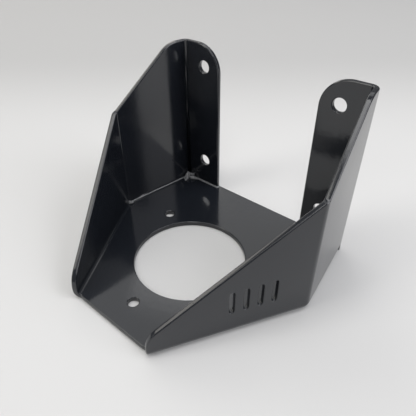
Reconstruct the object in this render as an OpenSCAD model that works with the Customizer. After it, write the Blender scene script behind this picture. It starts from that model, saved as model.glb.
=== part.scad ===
// Fuel filler mounting bracket: a floor with a filler hole between two folded wings.
// Millimetres. The filler axis is Z, the underside of the floor is Z = 0, and +Y points to the flanges.
// The part is cut from one sheet. Each wing is folded up along the floor, then turns twice:
// a flared front panel, a rear panel, and a flange that bolts to the vehicle.

/* [Sheet] */
// Thickness of the sheet
sheet = 3.2; // [2.5:0.1:4]
// Inside radius of every fold
bend_r = 2; // [1:0.25:3]

/* [Floor] */
// Inside width between the wings at the front edge
front_w = 57; // [50:1:66]
// Distance from the filler axis to the front edge
front_reach = 64; // [58:1:72]
// Diameter of the filler hole
filler_d = 70; // [60:1:76]
// Diameter of the circle that the three filler screws lie on
screw_circle = 95; // [88:1:100]
// Diameter of each filler screw hole
screw_d = 6.5; // [4.5:0.1:7]

/* [Wings] */
// Inside length of the flared front panel
flare_len = 90; // [84:1:98]
// Angle between a front panel and the centre line
flare_angle = 30; // [26:1:33]
// Inside length of the rear panel
rear_len = 58; // [52:1:66]
// Angle by which a rear panel leans in towards the centre line
toe_angle = 8.5; // [4:0.5:12]
// Height of the sloping edge where its line crosses the front edge
nose_h = 14; // [12:0.5:20]
// Radius of the nose at the front of a wing
nose_r = 14; // [6:1:20]
// Length of the level top edge, seen from the side
top_run = 16.3; // [13:0.1:20]
// Radius of the two corners at the top of a wing
top_r = 18; // [10:1:22]

/* [Flange bolts] */
// Diameter of each bolt hole
bolt_d = 8.5; // [6.6:0.1:10.5]
// Distance between the two columns of bolt holes
bolt_span = 97.5; // [92:0.5:102]
// Height of the lower bolt holes
bolt_low = 23; // [18:1:30]
// Distance between the lower and the upper bolt holes
bolt_pitch = 71.5; // [62:0.5:80]
// Metal between the middle of a bolt hole and the flange's free edge
bolt_margin = 12.5; // [9:0.5:15]
// Metal between the middle of an upper bolt hole and the top edge
bolt_cover = 15; // [10:0.5:20]

/* [Side slots] */
// Number of upright slots in the right wing's front panel
slot_count = 4; // [2:1:5]
// Width of a slot
slot_w = 3; // [2:0.25:4]
// Height of a slot
slot_h = 15; // [8:1:18]
// Distance from one slot to the next
slot_pitch = 8; // [6:0.5:9]
// Distance along the panel from the front edge to the middle of the row
slot_run = 57; // [50:1:62]
// Height of the middle of the row
slot_mid = 24; // [20:1:28]

/* [Weld] */
// Radius of the bead along the seams
bead_r = 1.6; // [1:0.1:2.2]
// Radius of the bead in the rear corner, where two seams meet
corner_bead_r = 2.8; // [2:0.1:3]

/* [Hidden] */
$fn = 96;

// Places of the three filler screws round the filler axis
screw_angles = [-90, 30, 150];
// How far a cutting shape reaches past the metal that it cuts
cut_past = 1;
// Steps along the twisted top edge of the front upright fold
steps = 8;
// Where the fold starts at the front, the wing stands this far behind the floor's front edge
front_step = 0.6;
// Length of the small slant from there to the floor's front edge
front_slant = 0.9;
// The floor's rear edge stays this far inside the mounting face
rear_setdown = 0.4;
// Width of the flat strip beside a foot, where it runs into the floor
foot_strip = 0.4;
// By how much the bead is thicker where it turns round the flange's free edge
bead_swell = 0.1;
// Straight front edge between the foot and the round nose
nose_foot = 0.5;

// A fold has the inside radius bend_r and this outside radius
bend_out = bend_r + sheet;
// Angles that the sheet turns through at the two upright folds
front_turn = flare_angle + toe_angle;
rear_turn = 90 - toe_angle;
// Rounds a length down to hundredths of a millimetre, so that arcs meet straight edges exactly
function hundredths(length) = floor(100 * length) / 100;
// A vector in plan of length r, at angle a from X
function polar(r, a) = r * [cos(a), sin(a)];

// How far each fold eats into the flat panels beside it
function setback(turn) = bend_r * tan(turn / 2);
front_setback = setback(front_turn);
rear_setback = setback(rear_turn);

// The inside corners of the right wing, in plan
front_corner = [front_w / 2, -front_reach];
fold_corner = front_corner + flare_len * [sin(flare_angle), cos(flare_angle)];
rear_corner = fold_corner + rear_len * [-sin(toe_angle), cos(toe_angle)];
mount_y = rear_corner.y + sheet;
flange_edge = bolt_span / 2 - bolt_margin;

// Flat lengths of the three panels of a wing
flare_start = -hundredths(bend_r * tan(flare_angle) - front_step);
flare_flat = flare_len - front_setback;
rear_flat = rear_len - front_setback - rear_setback;
flange_flat = rear_corner.x - rear_setback - flange_edge;

// Middles of the two upright folds in plan, and the way inwards from the front panel
flare_inwards = [-cos(flare_angle), sin(flare_angle)];
fold_middle = fold_corner - front_setback * [sin(flare_angle), cos(flare_angle)] + bend_r * flare_inwards;
rear_middle = rear_corner + rear_setback * [sin(toe_angle), -cos(toe_angle)]
    - bend_r * [cos(toe_angle), sin(toe_angle)];
function fold_point(a) = fold_middle + polar(bend_r, a + 90 - flare_angle);

// Seen from the side, the sloping edge is one straight line from the nose to the level top
top_h = bolt_low + bolt_pitch + bolt_cover;
slope = (top_h - nose_h) / (mount_y + front_reach - top_run);
function edge_z(y) = nose_h + slope * (y + front_reach);
function flare_y(s) = -front_reach + s * cos(flare_angle);
rear_start_y = fold_corner.y + front_setback * cos(toe_angle);

// Slope of that line in the plane of each panel
flare_slope = atan(slope * cos(flare_angle));
rear_slope = atan(slope * cos(toe_angle));

// The nose is no rounder than the height above the foot allows
nose_room = (edge_z(flare_y(flare_start)) - bend_out - nose_foot) * cos(flare_slope) / (1 - sin(flare_slope));
nose_round = hundredths(min(nose_r, nose_room));
nose_mid = [
    flare_start + nose_round,
    edge_z(flare_y(flare_start + nose_round)) - nose_round / cos(flare_slope)
];

// The rear panel's corner is no rounder than the level run beside it allows
knee_s = (mount_y - top_run - rear_start_y) / cos(toe_angle);
knee_room = (rear_flat - knee_s) / tan(rear_slope / 2);
knee_round = hundredths(min(top_r, knee_room));
knee_mid = [knee_s + knee_round * tan(rear_slope / 2), top_h - knee_round];
flange_round = hundredths(min(top_r, flange_flat - cut_past));

// Stands a flat outline up, with its thickness on the outer side of the wing
module stand() {
    rotate([90, 0, 0]) linear_extrude(height = sheet) children();
}

// Moves to the inside face of the right wing's front panel: X along it, Y inwards
module at_flare() {
    translate([front_corner.x, front_corner.y, 0]) rotate([0, 0, 90 - flare_angle]) children();
}

// Moves to the middle of an upright fold that starts after the given flat run
module at_fold(run) {
    translate([run, bend_r, 0]) children();
}

// Moves on past that fold, to the inside face of the next panel
module past_fold(run, turn) {
    at_fold(run) rotate([0, 0, turn]) translate([0, -bend_r, 0]) children();
}

// Keeps of something round only what lies between the two panels that the fold joins
module between_panels(turn) {
    side = 4 * bend_out;
    difference() {
        children();
        translate([-side, -side / 2, -cut_past]) cube([side, side, top_h + 2 * cut_past]);
        rotate([0, 0, turn]) translate([0, -side / 2, -cut_past]) cube([side, side, top_h + 2 * cut_past]);
    }
}

// An upright fold around its own middle
module upright_fold(turn, low, high) {
    between_panels(turn) translate([0, 0, low]) difference() {
        cylinder(r = bend_out, h = high - low);
        translate([0, 0, -cut_past]) cylinder(r = bend_r, h = high - low + 2 * cut_past);
    }
}

// Section of the fold between floor and wing, around its own middle
module foot_section() {
    difference() {
        intersection() {
            circle(bend_out);
            translate([0, -bend_out]) square(bend_out);
        }
        circle(bend_r);
    }
}

// The fold along the foot of a panel, with the strip of floor that it grows out of
module foot(start, end) {
    translate([start, bend_r, bend_out]) rotate([90, 0, 90]) linear_extrude(height = end - start)
        mirror([1, 0]) union() {
            foot_section();
            translate([-foot_strip, -bend_out]) square([foot_strip, sheet]);
        }
}

// Outline of the front panel above its foot: a round nose and the sloping edge
module flare_outline() {
    intersection() {
        translate([flare_start, bend_out]) square([flare_flat - flare_start, top_h]);
        translate(nose_mid) union() {
            circle(nose_round);
            rotate(flare_slope) translate([0, -2 * top_h]) square([2 * flare_len, 2 * top_h + nose_round]);
            translate([-nose_round, -2 * top_h]) square([nose_round, 2 * top_h]);
        }
    }
}

// Outline of the rear panel above its foot: the sloping edge, a round knee and the level top
module rear_outline() {
    intersection() {
        translate([0, bend_out]) square([rear_flat, top_h - bend_out]);
        translate(knee_mid) union() {
            circle(knee_round);
            rotate(rear_slope) translate([-2 * rear_len, -2 * top_h])
                square([2 * rear_len, 2 * top_h + knee_round]);
            translate([0, -2 * top_h]) square([2 * rear_len, 2 * top_h + knee_round]);
        }
    }
}

// Outline of the flange: square at the foot, round at the top of its free edge
module flange_outline() {
    intersection() {
        square([2 * flange_flat, top_h]);
        translate([flange_flat - flange_round, top_h - flange_round]) union() {
            circle(flange_round);
            translate([-2 * flange_flat, -2 * top_h]) square([2 * flange_flat, 3 * top_h]);
            translate([-cut_past, -2 * top_h]) square([flange_round + cut_past, 2 * top_h]);
        }
    }
}

// Trims the front upright fold: its top edge twists from one panel's slope to the other's
module fold_trim() {
    near_r = bend_r / 2;
    far_r = bend_out + cut_past;
    rim = [
        for (i = [-1 : steps + 1])
            let (a = -90 + front_turn * i / steps, z = edge_z(fold_point(a).y))
            each [
                [near_r * cos(a), near_r * sin(a), z],
                [far_r * cos(a), far_r * sin(a), z],
                [far_r * cos(a), far_r * sin(a), top_h + cut_past],
                [near_r * cos(a), near_r * sin(a), top_h + cut_past]
            ]
    ];
    last = 4 * (steps + 2);
    sides = [
        for (i = [0 : steps + 1], k = [0 : 3])
            let (a = 4 * i + k, b = 4 * i + (k + 1) % 4)
            each [[a, b, b + 4], [a, b + 4, a + 4]]
    ];
    ends = [[0, 3, 2], [0, 2, 1], [last, last + 1, last + 2], [last, last + 2, last + 3]];
    polyhedron(points = rim, faces = concat(sides, ends));
}

// A sheet folded round the foot, with two upright folds
module wing() {
    at_flare() {
        stand() flare_outline();
        foot(flare_start, flare_flat);
        at_fold(flare_flat) {
            between_panels(front_turn) translate([0, 0, bend_out]) rotate_extrude() foot_section();
            difference() {
                upright_fold(front_turn, bend_out, top_h);
                fold_trim();
            }
        }
        past_fold(flare_flat, front_turn) {
            stand() rear_outline();
            foot(0, rear_flat);
            at_fold(rear_flat) {
                upright_fold(rear_turn, 0, top_h);
                between_panels(rear_turn) cylinder(r = bend_r + sheet / 2, h = sheet);
            }
            past_fold(rear_flat, rear_turn) {
                stand() flange_outline();
                flange_weld();
            }
        }
    }
}

// The bead along the flange's foot, from the rear corner round the flange's free edge
module flange_weld() {
    translate([0, 0, sheet]) {
        rotate([0, 90, 0]) cylinder(r = bead_r, h = flange_flat);
        translate([flange_flat, 0, 0]) {
            sphere(bead_r + bead_swell);
            rotate([90, 0, 0]) cylinder(r = bead_r, h = sheet - rear_setdown);
        }
        translate([-bend_r / 2, bend_r / 2, 0]) sphere(corner_bead_r);
    }
}

// The floor between the wings: its sides run inside the strips that the feet carry
module floor_plate() {
    side_in = foot_strip / 2;
    flare_in = front_corner + flare_inwards * (bend_r + side_in);
    strip_start = flare_in + (flare_start + side_in) * [sin(flare_angle), cos(flare_angle)];
    half = [
        [strip_start.x - side_in - front_slant, -front_reach],
        strip_start,
        fold_middle + side_in * flare_inwards,
        rear_middle - side_in * [cos(toe_angle), sin(toe_angle)],
        rear_corner + [0, sheet / 4],
        [flange_edge + sheet / 4, rear_corner.y + sheet / 4],
        [flange_edge + sheet / 4, mount_y - rear_setdown]
    ];
    other_half = [for (i = [len(half) - 1 : -1 : 0]) [-half[i].x, half[i].y]];
    linear_extrude(height = sheet) polygon(concat(half, other_half));
}

module filler_holes() {
    translate([0, 0, -cut_past]) {
        cylinder(d = filler_d, h = sheet + 2 * cut_past);
        for (a = screw_angles) rotate([0, 0, a]) translate([screw_circle / 2, 0, 0])
            cylinder(d = screw_d, h = sheet + 2 * cut_past);
    }
}

module bolt_holes() {
    for (x = [-bolt_span / 2, bolt_span / 2], z = [bolt_low, bolt_low + bolt_pitch])
        translate([x, mount_y + cut_past, z]) rotate([90, 0, 0])
            cylinder(d = bolt_d, h = sheet + 2 * cut_past);
}

module side_slots() {
    at_flare() rotate([90, 0, 0]) translate([0, 0, -cut_past])
        for (i = [0 : slot_count - 1])
            translate([slot_run + (i - (slot_count - 1) / 2) * slot_pitch, slot_mid, 0]) {
                straight = slot_h - slot_w;
                for (end = [-straight / 2, straight / 2]) translate([0, end, 0])
                    cylinder(d = slot_w, h = sheet + 2 * cut_past);
                translate([-slot_w / 2, -straight / 2, 0]) cube([slot_w, straight, sheet + 2 * cut_past]);
            }
}

module bracket() {
    color([0.05, 0.05, 0.06]) difference() {
        union() {
            floor_plate();
            for (side = [0, 1]) mirror([side, 0, 0]) {
                wing();
            }
        }
        filler_holes();
        bolt_holes();
        side_slots();
    }
}

bracket();
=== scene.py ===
import math
import random

import bmesh
import bpy
from mathutils import Matrix, Vector
from mathutils.geometry import delaunay_2d_cdt


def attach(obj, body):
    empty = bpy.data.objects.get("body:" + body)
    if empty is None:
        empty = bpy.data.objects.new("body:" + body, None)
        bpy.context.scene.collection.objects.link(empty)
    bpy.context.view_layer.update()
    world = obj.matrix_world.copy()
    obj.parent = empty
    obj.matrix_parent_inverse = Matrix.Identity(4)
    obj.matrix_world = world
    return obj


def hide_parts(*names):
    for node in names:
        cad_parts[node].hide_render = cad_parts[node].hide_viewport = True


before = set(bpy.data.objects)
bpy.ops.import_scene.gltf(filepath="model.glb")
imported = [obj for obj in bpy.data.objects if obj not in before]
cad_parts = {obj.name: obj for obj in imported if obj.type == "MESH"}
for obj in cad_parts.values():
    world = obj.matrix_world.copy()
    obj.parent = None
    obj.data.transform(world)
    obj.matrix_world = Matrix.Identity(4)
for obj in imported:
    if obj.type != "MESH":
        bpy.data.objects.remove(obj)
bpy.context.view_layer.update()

# The view: a short lens near the bracket, above its front right corner.
# It looks down over the right wing, so that the left wing's inside faces it.
camera_data = bpy.data.cameras.new("camera")
camera_data.sensor_width = 36.0
camera_data.lens = 36.117
camera_data.dof.use_dof = False
camera = bpy.data.objects.new("camera", camera_data)
bpy.context.scene.collection.objects.link(camera)
view_azimuth = math.radians(40.553)
view_elevation = math.radians(37.273)
view_roll = math.radians(-0.316)
camera.location = (0.133669, -0.138221, 0.188138)
camera.rotation_euler = (
    Matrix.Rotation(view_azimuth, 3, "Z")
    @ Matrix.Rotation(math.pi / 2 - view_elevation, 3, "X")
    @ Matrix.Rotation(view_roll, 3, "Z")
).to_euler()
bpy.context.scene.camera = camera

# The sheet: mild steel, 3.2 mm with its coat, laser cut to a flat blank.
# The blank is folded along the floor into two wings, and each wing has two upright folds.
sheet = 0.0032
bend_r = 0.002
bend_out = bend_r + sheet

front_w = 0.057
front_reach = 0.064
flare_len = 0.090
flare_angle = math.radians(30)
rear_len = 0.058
toe_angle = math.radians(8.5)
front_turn = flare_angle + toe_angle
rear_turn = math.pi / 2 - toe_angle
front_setback = bend_r * math.tan(front_turn / 2)
rear_setback = bend_r * math.tan(rear_turn / 2)

bolt_d = 0.0085
bolt_span = 0.0975
bolt_low = 0.023
bolt_pitch = 0.0715
flange_margin = 0.0125
flange_edge = bolt_span / 2 - flange_margin

top_margin = 0.015
top_h = bolt_low + bolt_pitch + top_margin
top_run = 0.0163
top_r = 0.018
nose_h = 0.014

# The wing's front stands a step behind the floor's front edge, which slants back to meet it.
# The floor's rear edge stays a little inside the flange's rear face, a hair's gap from its foot.
front_step = 0.0006
front_slant = 0.0012
rear_setdown = 0.0004
seam = 0.00004


class Panel:
    """A flat panel or an upright fold of the right wing, seen from above."""

    def __init__(self, start, heading, turn=0.0):
        self.start = Vector(start)
        self.heading = heading
        self.turn = turn

    def at(self, along, inwards):
        """A point in plan: a distance along a flat panel, or a share of a fold's turn."""
        if self.turn:
            heading = self.heading + self.turn * along
            middle = self.start + bend_r * inwards_of(self.heading)
            return middle - (bend_r - inwards) * inwards_of(heading)
        return self.start + along * along_of(self.heading) + inwards * inwards_of(self.heading)


def along_of(heading):
    return Vector((math.cos(heading), math.sin(heading)))


def inwards_of(heading):
    return Vector((-math.sin(heading), math.cos(heading)))


flare_heading = math.pi / 2 - flare_angle
rear_heading = flare_heading + front_turn
flange_heading = rear_heading + rear_turn
front_corner = Vector((front_w / 2, -front_reach))
fold_corner = front_corner + flare_len * along_of(flare_heading)
rear_corner = fold_corner + rear_len * along_of(rear_heading)
mount_y = rear_corner.y + sheet

flare_start = front_step - bend_r * math.tan(flare_angle)
flare_flat = flare_len - front_setback
rear_flat = rear_len - front_setback - rear_setback
flange_flat = rear_corner.x - rear_setback - flange_edge

flare = Panel(front_corner, flare_heading)
front_fold = Panel(flare.at(flare_flat, 0), flare_heading, front_turn)
rear = Panel(front_fold.at(1, 0), rear_heading)
rear_fold = Panel(rear.at(rear_flat, 0), rear_heading, rear_turn)
flange = Panel(rear_fold.at(1, 0), flange_heading)

slope = (top_h - nose_h) / (mount_y + front_reach - top_run)


def edge_z(y):
    """Height of the wing's sloping edge, one straight line when seen from the side."""
    return nose_h + slope * (y + front_reach)


def arc(middle, radius, start, end, count):
    """Points of an arc, its two ends included."""
    turns = [start + (end - start) * i / count for i in range(count + 1)]
    return [Vector(middle) + radius * Vector((math.cos(a), math.sin(a))) for a in turns]


# Points of the sheet: each has a place on the inner face and one on the outer face.
# Neighbouring stretches of the sheet share the points along their common edge.
same_point = 1e-9
points_per_metre = 1e7
inner_points = []
outer_points = []
point_of = {}
hole_points = set()
sheet_faces = []


def add_point(inner, outer):
    key = tuple(round(v * points_per_metre) for v in (*inner, *outer))
    if key not in point_of:
        point_of[key] = len(inner_points)
        inner_points.append(Vector(inner))
        outer_points.append(Vector(outer))
    return point_of[key]


def upright_point(side, panel, along, height):
    near = panel.at(along, 0)
    far = panel.at(along, -sheet)
    return add_point((side * near.x, near.y, height), (side * far.x, far.y, height))


def foot_point(side, panel, along, bend):
    """A point of the fold at a wing's foot: bend is 0 at the wing and 1 at the floor."""
    places = []
    for depth in (0, sheet):
        radius = bend_r + depth
        inwards = bend_r - radius * math.cos(bend * math.pi / 2)
        height = bend_out - radius * math.sin(bend * math.pi / 2)
        plan = panel.at(along, inwards)
        places.append((side * plan.x, plan.y, height))
    return add_point(*places)


def floor_point(plan):
    return add_point((plan[0], plan[1], sheet), (plan[0], plan[1], 0))


def add_face(points):
    loop = [p for i, p in enumerate(points) if p != points[i - 1]]
    if len(loop) > 2:
        sheet_faces.append(loop)


def inside(point, loop):
    """Whether a point of the flat lies within a loop."""
    hit = False
    for i, a in enumerate(loop):
        b = loop[i - 1]
        if (a[1] > point.y) != (b[1] > point.y):
            if point.x < a[0] + (b[0] - a[0]) * (point.y - a[1]) / (b[1] - a[1]):
                hit = not hit
    return hit


def add_flat(outline, holes, place):
    """Fills a flat outline with holes, both given as lists of points in the flat."""
    flat = []
    edges = []
    for loop in [outline] + holes:
        first = len(flat)
        flat += [Vector(p) for p in loop]
        edges += [(first + i, first + (i + 1) % len(loop)) for i in range(len(loop))]
    fill_outline = 1
    verts, _, faces, _, _, _ = delaunay_2d_cdt(flat, edges, [], fill_outline, same_point)
    hole_points.update(place(Vector(p)) for hole in holes for p in hole)
    for face in faces:
        middle = sum((verts[i] for i in face), Vector((0, 0))) / len(face)
        if not any(inside(middle, hole) for hole in holes):
            add_face([place(verts[i]) for i in face])


foot_steps = 10
fold_steps = 8
rear_fold_steps = 14


def add_foot(side, panel, start, end, steps):
    for i in range(steps):
        near = start + (end - start) * i / steps
        far = start + (end - start) * (i + 1) / steps
        for k in range(foot_steps):
            low, high = k / foot_steps, (k + 1) / foot_steps
            add_face([
                foot_point(side, panel, near, low),
                foot_point(side, panel, far, low),
                foot_point(side, panel, far, high),
                foot_point(side, panel, near, high),
            ])


def add_fold(side, panel, steps, top_of, bottom):
    """An upright fold, whose top follows a height and whose first edge may be free at the bottom."""
    for i in range(steps):
        near, far = i / steps, (i + 1) / steps
        loop = [
            upright_point(side, panel, near, bottom),
            upright_point(side, panel, far, bottom),
            upright_point(side, panel, far, top_of(far)),
            upright_point(side, panel, near, top_of(near)),
        ]
        if i == 0 and bottom < bend_out:
            loop.append(upright_point(side, panel, near, bend_out))
        add_face(loop)


# The wings: a flared front panel with a round nose, a rear panel, and a flange.
# Their top edge is one straight slope that ends in a level top with round corners.
flare_slope = math.atan(slope * math.cos(flare_angle))
rear_slope = math.atan(slope * math.cos(toe_angle))
nose_r = 0.014
nose_steps = 20
knee_steps = 14
top_steps = 24
bolt_steps = 40
nose_start_z = edge_z(flare.at(flare_start, 0).y)
nose_mid = Vector((flare_start + nose_r, nose_start_z + slope * math.cos(flare_angle) * nose_r
                   - nose_r / math.cos(flare_slope)))
knee_s = (mount_y - top_run - rear.start.y) / math.cos(toe_angle)
knee_mid = Vector((knee_s + top_r * math.tan(rear_slope / 2), top_h - top_r))
flange_mid = Vector((flange_flat - top_r, top_h - top_r))

slot_count = 4
slot_w = 0.003
slot_h = 0.015
slot_pitch = 0.008
slot_run = 0.057
slot_mid = 0.024
slot_end_steps = 16


def slot_outline(middle):
    """One of the plain round-ended slots in the right wing."""
    straight = (slot_h - slot_w) / 2
    top = arc(middle + Vector((0, straight)), slot_w / 2, 0, math.pi, slot_end_steps)
    return top + arc(middle - Vector((0, straight)), slot_w / 2, math.pi, 2 * math.pi, slot_end_steps)


def add_wing(side):
    flare_outline = [(flare_start, bend_out), (flare_flat, bend_out)]
    flare_outline.append((flare_flat, edge_z(flare.at(flare_flat, 0).y)))
    flare_outline += arc(nose_mid, nose_r, math.pi / 2 + flare_slope, math.pi, nose_steps)
    slots = []
    if side > 0:
        for i in range(slot_count):
            along = slot_run + (i - (slot_count - 1) / 2) * slot_pitch
            slots.append(slot_outline(Vector((along, slot_mid))))
    add_flat(flare_outline, slots, lambda p: upright_point(side, flare, p.x, p.y))
    add_foot(side, flare, flare_start, flare_flat, 1)

    add_fold(side, front_fold, fold_steps, lambda t: edge_z(front_fold.at(t, 0).y), bend_out)
    add_foot(side, front_fold, 0, 1, fold_steps)

    rear_outline = [(0, bend_out), (rear_flat, bend_out), (rear_flat, top_h)]
    rear_outline += arc(knee_mid, top_r, math.pi / 2, math.pi / 2 + rear_slope, knee_steps)
    rear_outline.append((0, edge_z(rear.start.y)))
    add_flat(rear_outline, [], lambda p: upright_point(side, rear, p.x, p.y))
    add_foot(side, rear, 0, rear_flat, 1)

    add_fold(side, rear_fold, rear_fold_steps, lambda t: top_h, 0)
    flange_outline = [(0, 0), (flange_flat, 0)]
    flange_outline += arc(flange_mid, top_r, 0, math.pi / 2, top_steps)
    flange_outline.append((0, top_h))
    bolt_along = rear_corner.x - rear_setback - bolt_span / 2
    bolts = [arc((bolt_along, z), bolt_d / 2, 0, 2 * math.pi, bolt_steps)[:-1]
             for z in (bolt_low, bolt_low + bolt_pitch)]
    add_flat(flange_outline, bolts, lambda p: upright_point(side, flange, p.x, p.y))


add_wing(1)
add_wing(-1)

# The floor: a plate with the filler hole and its three screw holes.
# Its rear corners are notched round the flanges, which are welded to it along the seam.
filler_d = 0.070
screw_circle = 0.095
screw_d = 0.0065
screw_angles = [-90, 30, 150]
filler_steps = 128
screw_steps = 40
notch_steps = 6


def floor_half():
    lead_corner = flare.at(flare_start, bend_r)
    half = [Vector((lead_corner.x - front_slant, -front_reach)), lead_corner]
    half += [flare.at(flare_flat, bend_r), rear.at(rear_flat, bend_r)]
    half += [rear_fold.at(i / notch_steps, seam) for i in range(notch_steps + 1)]
    half += [flange.at(flange_flat + seam, seam)]
    half += [flange.at(flange_flat + seam, rear_setdown - sheet)]
    return half


right_half = floor_half()
left_half = [Vector((-p.x, p.y)) for p in reversed(right_half)]
floor_holes = [arc((0, 0), filler_d / 2, 0, 2 * math.pi, filler_steps)[:-1]]
for angle in screw_angles:
    middle = screw_circle / 2 * along_of(math.radians(angle))
    floor_holes.append(arc(middle, screw_d / 2, 0, 2 * math.pi, screw_steps)[:-1])
add_flat(right_half + left_half, floor_holes, floor_point)

# The cut edge: a rim joins the two faces all round the blank and in each hole.
# The coat has rounded every arris of it a little.
arris_r = 0.0008
hole_arris_r = 0.0005
arris_steps = 5
arris_profile = 0.4
arris_angle = math.radians(35)
flat_angle = math.radians(0.05)
seam_lead = 0.0005
shell = bmesh.new()
inner = [shell.verts.new(p) for p in inner_points]
outer = [shell.verts.new(p) for p in outer_points]
uses = {}
for loop in sheet_faces:
    shell.faces.new([inner[i] for i in loop])
    shell.faces.new([outer[i] for i in reversed(loop)])
    for i, a in enumerate(loop):
        edge = (min(a, loop[i - 1]), max(a, loop[i - 1]))
        uses[edge] = uses.get(edge, 0) + 1
rims = [edge for edge, count in uses.items() if count == 1]
for a, b in rims:
    shell.faces.new([inner[a], inner[b], outer[b], outer[a]])
bmesh.ops.recalc_face_normals(shell, faces=shell.faces)
bmesh.ops.dissolve_limit(shell, angle_limit=flat_angle, verts=shell.verts, edges=shell.edges)
seam_start = rear.at(rear_flat - seam_lead, 0).y


def in_seam(point):
    """Whether a point lies on the welded seam between flange and floor, whose edges stay square."""
    return point.y > seam_start and point.z < bend_out + seam and abs(point.x) > flange_edge - 2 * arris_r


sharp = [e for e in shell.edges if len(e.link_faces) == 2 and e.calc_face_angle() > arris_angle
         and not (in_seam(e.verts[0].co) and in_seam(e.verts[1].co))]
hole_verts = {vert for i in hole_points for vert in (inner[i], outer[i])}
round_hole = [e for e in sharp if e.verts[0] in hole_verts]
round_outline = [e for e in sharp if e.verts[0] not in hole_verts]
for edges, radius in ((round_hole, hole_arris_r), (round_outline, arris_r)):
    bmesh.ops.bevel(shell, geom=edges, offset=radius, offset_type="OFFSET", segments=arris_steps,
                    profile=arris_profile, affect="EDGES", clamp_overlap=False, miter_outer="ARC")
for face in shell.faces:
    face.smooth = True
bracket_mesh = bpy.data.meshes.new("bracket_sheet")
shell.to_mesh(bracket_mesh)
shell.free()
bracket = bpy.data.objects.new("bracket_sheet", bracket_mesh)
bpy.context.scene.collection.objects.link(bracket)
weighted = bracket.modifiers.new("even_shading", "WEIGHTED_NORMAL")
weighted.weight = 100

# The finish: semi-gloss black powder coat, baked on over the cut edges and the welds.
# It has a fine orange peel, a few specks of dust and a little unevenness of gloss.
coat_black = (0.012, 0.014, 0.0185, 1)
coat_ior = 1.62
peel = bpy.data.node_groups.new("orange_peel", "ShaderNodeTree")
peel.interface.new_socket("Normal", in_out="OUTPUT", socket_type="NodeSocketVector")


def add_noise(tree, place, scale, detail):
    """A soft grain that is fixed to the piece, from 0 to 1."""
    noise = tree.nodes.new("ShaderNodeTexNoise")
    noise.inputs["Scale"].default_value = scale
    noise.inputs["Detail"].default_value = detail
    tree.links.new(place.outputs["Object"], noise.inputs["Vector"])
    return noise.outputs["Fac"]


def add_range(tree, value, from_low, from_high, to_low, to_high):
    """Spreads a value from one range over another."""
    spread = tree.nodes.new("ShaderNodeMapRange")
    tree.links.new(value, spread.inputs["Value"])
    spread.inputs["From Min"].default_value = from_low
    spread.inputs["From Max"].default_value = from_high
    spread.inputs["To Min"].default_value = to_low
    spread.inputs["To Max"].default_value = to_high
    return spread.outputs["Result"]


def add_bump(tree, height, strength, distance, under=None):
    """Bends the surface normal by a height, on top of any bump under it."""
    bump = tree.nodes.new("ShaderNodeBump")
    bump.inputs["Strength"].default_value = strength
    bump.inputs["Distance"].default_value = distance
    tree.links.new(height, bump.inputs["Height"])
    if under:
        tree.links.new(under, bump.inputs["Normal"])
    return bump.outputs["Normal"]


peel_place = peel.nodes.new("ShaderNodeTexCoord")
wave_height = add_noise(peel, peel_place, scale=260, detail=1)
waves = add_bump(peel, wave_height, strength=0.07, distance=0.0003)
ripple_height = add_noise(peel, peel_place, scale=1100, detail=2)
ripple = add_bump(peel, ripple_height, strength=0.05, distance=0.00015, under=waves)
specks = peel.nodes.new("ShaderNodeTexVoronoi")
specks.inputs["Scale"].default_value = 210
peel.links.new(peel_place.outputs["Object"], specks.inputs["Vector"])
speck_height = add_range(peel, specks.outputs["Distance"], from_low=0.02, from_high=0.07, to_low=1, to_high=0)
dusty = add_bump(peel, speck_height, strength=0.35, distance=0.0001, under=ripple)
peel_out = peel.nodes.new("NodeGroupOutput")
peel.links.new(dusty, peel_out.inputs["Normal"])


def add_coat(name, colour):
    """A material with the coat's mirror strength and its orange peel."""
    material = bpy.data.materials.new(name)
    material.use_nodes = True
    tree = material.node_tree
    shader = tree.nodes["Principled BSDF"]
    shader.inputs["IOR"].default_value = coat_ior
    shader.inputs["Base Color"].default_value = colour
    texture = tree.nodes.new("ShaderNodeGroup")
    texture.node_tree = peel
    tree.links.new(texture.outputs["Normal"], shader.inputs["Normal"])
    return material, tree, shader


coat, coat_tree, coat_shader = add_coat("powder_coat", coat_black)
coat_place = coat_tree.nodes.new("ShaderNodeTexCoord")
cloud = add_noise(coat_tree, coat_place, scale=28, detail=3)
gloss = add_range(coat_tree, cloud, from_low=0.3, from_high=0.7, to_low=0.095, to_high=0.15)
coat_tree.links.new(gloss, coat_shader.inputs["Roughness"])
bracket_mesh.materials.append(coat)

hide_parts("bracket")
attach(bracket, "root")

# The welds: a bead joins the foot of each flange to the floor and turns round the flange's end.
# It starts at a rough lump in the rear corner. A thin bead runs along the rear panel's foot,
# from that lump to a tack in the corner of the front fold. Their black coat is given a light grey base,
# a painted highlight that stands in for the glints off the coat on the welds.
bead_r = 0.00095
bead_step = 0.0009
bead_in = 0.0002
turn_balls = 3
turn_in = 0.0003

foot_bead_r = 0.00052
foot_bead_step = 0.0004
foot_bead_up = 0.00062

lump_balls = 60
lump_low_r = 0.0007
lump_high_r = 0.0015
lump_reach = 0.0056
lump_spread = 0.0024
lump_lift = 0.0048
lump_in = 0.0003
lump_ways = ((1, 0), (0, -1), (0, 0))
core_balls = 3
core_r = 0.0021
core_in = (0.0006, 0.0004)
core_step = (0.0013, 0.0011)
core_up = 0.0006

tack_balls = 14
tack_low_r = 0.0007
tack_high_r = 0.0011
tack_in = 0.0012
tack_wide = 0.0012
tack_deep = 0.0014
tack_lift = 0.0012

weld_grain = 0.00016
# painted highlight: the welds' black coat gets a light grey base colour in place of its glints
weld_painted_highlight_grey = (0.2, 0.203, 0.21, 1)
weld_roughness = 0.13
weld_draw = random.Random(3)
weld_coat_painted_highlight, _, weld_shader = add_coat("powder_coat_on_weld_painted_highlight", weld_painted_highlight_grey)
weld_shader.inputs["Roughness"].default_value = weld_roughness


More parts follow.
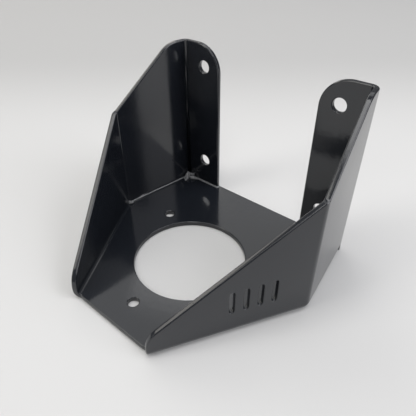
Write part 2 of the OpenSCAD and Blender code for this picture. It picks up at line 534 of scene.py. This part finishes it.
def seam_bead():
    """Balls along the foot of the flange and round its end."""
    balls = []
    seam_end = flange.at(flange_flat, 0)
    start = flange.at(0, 0)
    count = int((seam_end - start).length / bead_step)
    for i in range(count + 1):
        spot = start + (seam_end - start) * i / count
        balls.append((spot.x, spot.y - bead_in, sheet, bead_r * weld_draw.uniform(0.9, 1.1)))
    for i in range(turn_balls):
        balls.append((seam_end.x - turn_in, seam_end.y + i * bead_step, sheet,
                      bead_r * weld_draw.uniform(0.85, 1.0)))
    return balls


def foot_bead():
    """Balls along the rear panel's foot."""
    balls = []
    count = int(rear_flat / foot_bead_step)
    for i in range(count):
        spot = rear.at(rear_flat * i / count, foot_bead_up)
        balls.append((spot.x, spot.y, sheet + foot_bead_up, foot_bead_r * weld_draw.uniform(0.9, 1.1)))
    return balls


def corner_lump():
    """The rough start of the weld in the rear corner, on a solid core."""
    balls = []
    corner = rear_fold.at(0.5, lump_in)
    for i in range(lump_balls):
        reach = weld_draw.uniform(0, 1)
        way = weld_draw.choice(lump_ways)
        lift = weld_draw.uniform(0, lump_lift) * (1 - reach)
        size = weld_draw.uniform(lump_low_r, lump_high_r)
        balls.append((corner.x - way[0] * lump_reach * reach - weld_draw.uniform(0, lump_spread),
                      corner.y + way[1] * lump_reach * reach - weld_draw.uniform(0, lump_spread),
                      sheet + lift, size))
    for i in range(core_balls):
        balls.append((corner.x - core_in[0] - core_step[0] * i,
                      corner.y - core_in[1] - core_step[1] * (core_balls - 1 - i),
                      sheet + core_up, core_r))
    return balls


def corner_tack():
    """The small tack in the corner of the front fold."""
    balls = []
    tack = front_fold.at(0.5, tack_in)
    for i in range(tack_balls):
        balls.append((tack.x + weld_draw.uniform(-tack_wide, tack_wide),
                      tack.y + weld_draw.uniform(-tack_deep, tack_deep),
                      sheet + weld_draw.uniform(0.0, tack_lift), weld_draw.uniform(tack_low_r, tack_high_r)))
    return balls


def add_weld(name, side):
    """Melts the balls of one side's weld into one skin."""
    lumps = bmesh.new()
    for x, y, z, radius in seam_bead() + foot_bead() + corner_lump() + corner_tack():
        bmesh.ops.create_icosphere(lumps, subdivisions=2, radius=radius,
                                   matrix=Matrix.Translation((side * x, y, z)))
    weld_mesh = bpy.data.meshes.new(name)
    lumps.to_mesh(weld_mesh)
    lumps.free()
    weld_mesh.materials.append(weld_coat_painted_highlight)
    weld = bpy.data.objects.new(name, weld_mesh)
    bpy.context.scene.collection.objects.link(weld)
    joined = weld.modifiers.new("joined", "REMESH")
    joined.mode = "VOXEL"
    joined.voxel_size = weld_grain
    joined.use_smooth_shade = True
    flowed = weld.modifiers.new("flowed", "SMOOTH")
    flowed.factor = 0.5
    flowed.iterations = 2
    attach(weld, "root")


add_weld("weld_right", 1)
add_weld("weld_left", -1)

# The studio: a pale paper sweep that rises behind the bracket, its colour a little darker towards the back,
# painted shade for the dimmer light far behind.
# Soft boxes all round and one overhead light it, and the coat mirrors them.
sweep_mesh = bpy.data.meshes.new("sweep")
ground = bmesh.new()
sweep_front = -4.0
sweep_back = 2.6
sweep_top = 2.5
sweep_half = 5
curve_r = 0.8
curve_steps = 12
rows = [(sweep_front, 0.0)]
rows += arc((sweep_back, curve_r), curve_r, -math.pi / 2, 0, curve_steps)
rows += [(sweep_back + curve_r, sweep_top)]
columns = [[ground.verts.new((x, y, z)) for y, z in rows] for x in (-sweep_half, sweep_half)]
for i in range(len(rows) - 1):
    ground.faces.new([columns[0][i], columns[1][i], columns[1][i + 1], columns[0][i + 1]])
for face in ground.faces:
    face.smooth = True
ground.to_mesh(sweep_mesh)
ground.free()
sweep = bpy.data.objects.new("sweep", sweep_mesh)
sweep.rotation_euler = (0, 0, view_azimuth)
bpy.context.scene.collection.objects.link(sweep)
paper_near = (0.66, 0.66, 0.66, 1)
# painted shade: the paper's colour fades darker towards the back of the sweep
paper_far_painted_shade = (0.50, 0.50, 0.50, 1)
fade_start = 0.12
fade_end = 0.42
paper = bpy.data.materials.new("paper")
paper.use_nodes = True
paper_shader = paper.node_tree.nodes["Principled BSDF"]
paper_place = paper.node_tree.nodes.new("ShaderNodeTexCoord")
paper_axes = paper.node_tree.nodes.new("ShaderNodeSeparateXYZ")
paper_shade_fade = paper.node_tree.nodes.new("ShaderNodeMapRange")
paper_shade_fade.interpolation_type = "SMOOTHSTEP"
paper_shade_fade.inputs["From Min"].default_value = fade_start
paper_shade_fade.inputs["From Max"].default_value = fade_end
paper_shade_tone = paper.node_tree.nodes.new("ShaderNodeValToRGB")
paper_shade_tone.color_ramp.elements[0].color = paper_near
paper_shade_tone.color_ramp.elements[1].color = paper_far_painted_shade
paper.node_tree.links.new(paper_place.outputs["Object"], paper_axes.inputs["Vector"])
paper.node_tree.links.new(paper_axes.outputs["Y"], paper_shade_fade.inputs["Value"])
paper.node_tree.links.new(paper_shade_fade.outputs["Result"], paper_shade_tone.inputs["Fac"])
paper.node_tree.links.new(paper_shade_tone.outputs["Color"], paper_shader.inputs["Base Color"])
paper_shader.inputs["Roughness"].default_value = 0.8
paper_shader.inputs["Specular IOR Level"].default_value = 0.15
sweep_mesh.materials.append(paper)

room_light = 0.2
world = bpy.data.worlds.new("room")
world.use_nodes = True
world.node_tree.nodes["Background"].inputs["Color"].default_value = (1, 1, 1, 1)
world.node_tree.nodes["Background"].inputs["Strength"].default_value = room_light
bpy.context.scene.world = world


def add_soft_box(name, bearing, elevation, distance, width, height, radiance, tint):
    """A rectangular lamp that faces the bracket.

    The bearing runs from +Y towards +X and the elevation up from the ground, both in degrees.
    Distance, width and height are in metres. The radiance is that of the lamp's face.
    """
    box_data = bpy.data.lights.new(name, "AREA")
    box_data.shape = "RECTANGLE"
    box_data.size = width
    box_data.size_y = height
    box_data.energy = radiance * math.pi * width * height
    box_data.color = tint
    box = bpy.data.objects.new(name, box_data)
    level = distance * math.cos(math.radians(elevation))
    box.location = (level * math.sin(math.radians(bearing)), level * math.cos(math.radians(bearing)),
                    distance * math.sin(math.radians(elevation)))
    box.rotation_euler = (-box.location).to_track_quat("-Z", "Y").to_euler()
    bpy.context.scene.collection.objects.link(box)


add_soft_box("box_left", -80, 32, 2.2, 3.2, 0.55, 2.2, (1, 0.96, 0.89))
add_soft_box("box_back", -24, 43, 2.8, 2.2, 1.1, 0.8, (1, 1, 1))
add_soft_box("box_fill", -62, 53, 2.6, 1.6, 0.9, 0.8, (1, 1, 1))
add_soft_box("box_front", -146, 43, 2.4, 0.9, 2.5, 2.6, (1, 0.98, 0.93))
add_soft_box("box_right", 70, 40, 2.2, 1.2, 1.2, 2.8, (0.96, 0.96, 1))
add_soft_box("box_low", 72, 12, 2.2, 0.9, 0.8, 4.0, (0.97, 0.97, 1))
add_soft_box("box_high", 42, 56, 2.2, 0.8, 0.5, 4.0, (0.97, 0.97, 1))
add_soft_box("box_near", 148, 52, 2.4, 0.6, 1.1, 3.1, (1, 1, 1))
add_soft_box("box_top", 0, 88, 2.6, 1.5, 1.5, 3.2, (1, 1, 1))

bpy.context.scene.view_settings.view_transform = "Standard"
